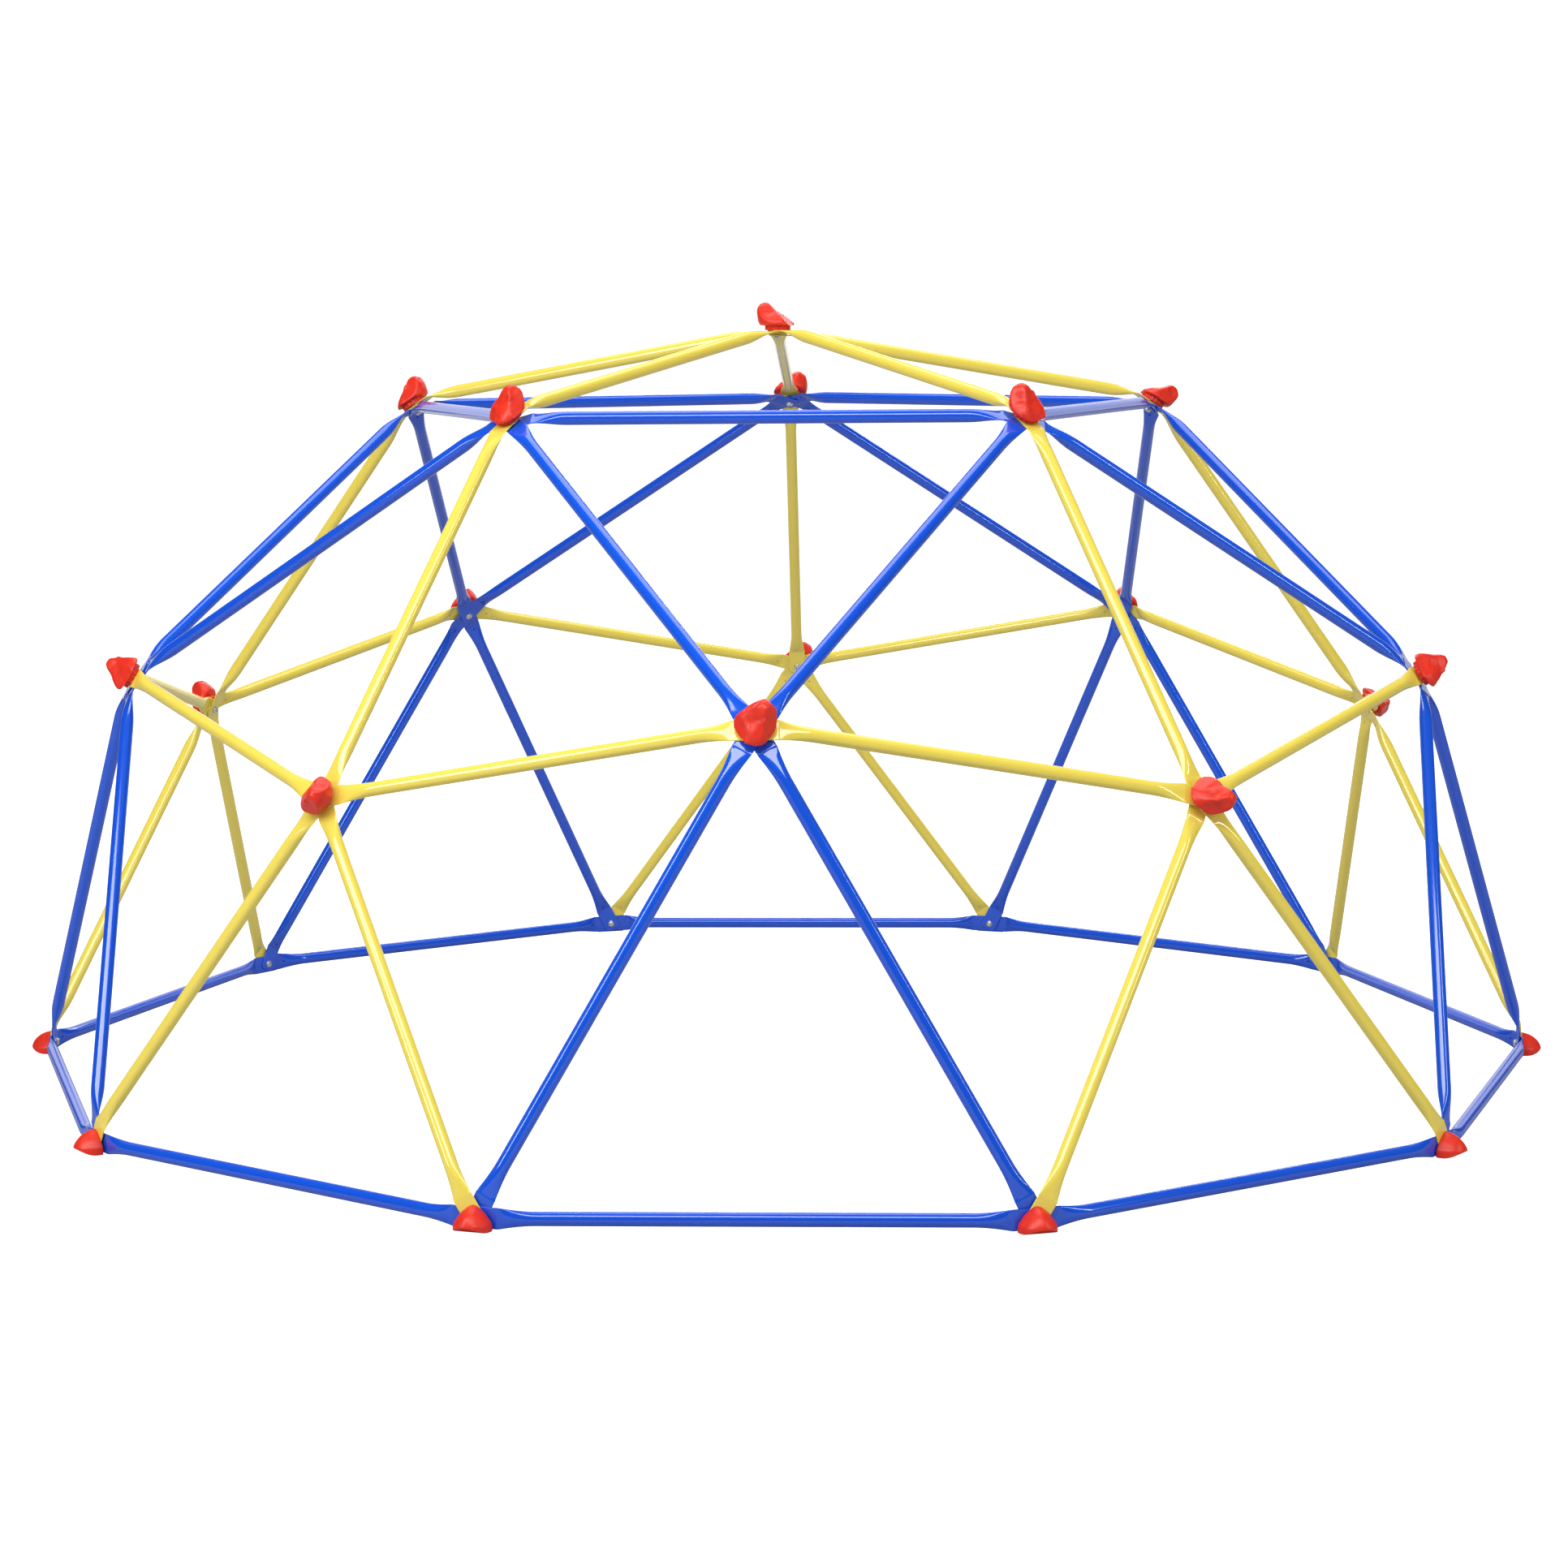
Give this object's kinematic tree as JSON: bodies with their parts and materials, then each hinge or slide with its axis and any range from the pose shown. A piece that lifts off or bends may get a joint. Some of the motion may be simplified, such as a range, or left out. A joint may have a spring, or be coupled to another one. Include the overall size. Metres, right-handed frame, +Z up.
{
  "type": "dome climber",
  "caption": "Geodesic dome climbing frame of bolted steel tube triangles in yellow and blue, with red hand holds on its hubs and red foot caps on the ground.",
  "frame": {"origin": "on the ground, on the vertical axis of the dome", "axes": "+Z up; the front faces -Y, with a six-way waist hub in the middle of it; +X to the right seen from the front, through a ground hub"},
  "size_m": [3.15, 3, 1.5388],
  "materials": {
    "yellow_paint": "gloss powder coat on steel tube",
    "blue_paint": "gloss powder coat on steel tube",
    "red_plastic": "satin moulded plastic",
    "plated_steel": "bright zinc plate"
  },
  "bodies": {
    "root": {"apex_hold": "red_plastic", "apex_strut_01": "yellow_paint", "apex_strut_02": "yellow_paint", "apex_strut_03": "yellow_paint", "apex_strut_04": "yellow_paint", "apex_strut_05": "yellow_paint", "base_ring_strut_01": "blue_paint", "base_ring_strut_02": "blue_paint", "base_ring_strut_03": "blue_paint", "base_ring_strut_04": "blue_paint", "base_ring_strut_05": "blue_paint", "base_ring_strut_06": "blue_paint", "base_ring_strut_07": "blue_paint", "base_ring_strut_08": "blue_paint", "base_ring_strut_09": "blue_paint", "base_ring_strut_10": "blue_paint", "blue_leg_pair_01": "blue_paint", "blue_leg_pair_02": "blue_paint", "blue_leg_pair_03": "blue_paint", "blue_leg_pair_04": "blue_paint", "blue_leg_pair_05": "blue_paint", "cap_inserts": "plated_steel", "crown_holds": "red_plastic", "crown_ring_strut_01": "blue_paint", "crown_ring_strut_02": "blue_paint", "crown_ring_strut_03": "blue_paint", "crown_ring_strut_04": "blue_paint", "crown_ring_strut_05": "blue_paint", "foot_caps": "red_plastic", "hold_inserts": "plated_steel", "hub_bolts": "plated_steel", "hub_washers": "plated_steel", "lower_waist_holds": "red_plastic", "upper_blue_strut_pair_01": "blue_paint", "upper_blue_strut_pair_02": "blue_paint", "upper_blue_strut_pair_03": "blue_paint", "upper_blue_strut_pair_04": "blue_paint", "upper_blue_strut_pair_05": "blue_paint", "upper_waist_holds": "red_plastic", "upper_yellow_strut_01": "yellow_paint", "upper_yellow_strut_02": "yellow_paint", "upper_yellow_strut_03": "yellow_paint", "upper_yellow_strut_04": "yellow_paint", "upper_yellow_strut_05": "yellow_paint", "waist_strut_01": "yellow_paint", "waist_strut_02": "yellow_paint", "waist_strut_03": "yellow_paint", "waist_strut_04": "yellow_paint", "waist_strut_05": "yellow_paint", "waist_strut_06": "yellow_paint", "waist_strut_07": "yellow_paint", "waist_strut_08": "yellow_paint", "waist_strut_09": "yellow_paint", "waist_strut_10": "yellow_paint", "yellow_leg_pair_01": "yellow_paint", "yellow_leg_pair_02": "yellow_paint", "yellow_leg_pair_03": "yellow_paint", "yellow_leg_pair_04": "yellow_paint", "yellow_leg_pair_05": "yellow_paint"}
  },
  "joints": []
}
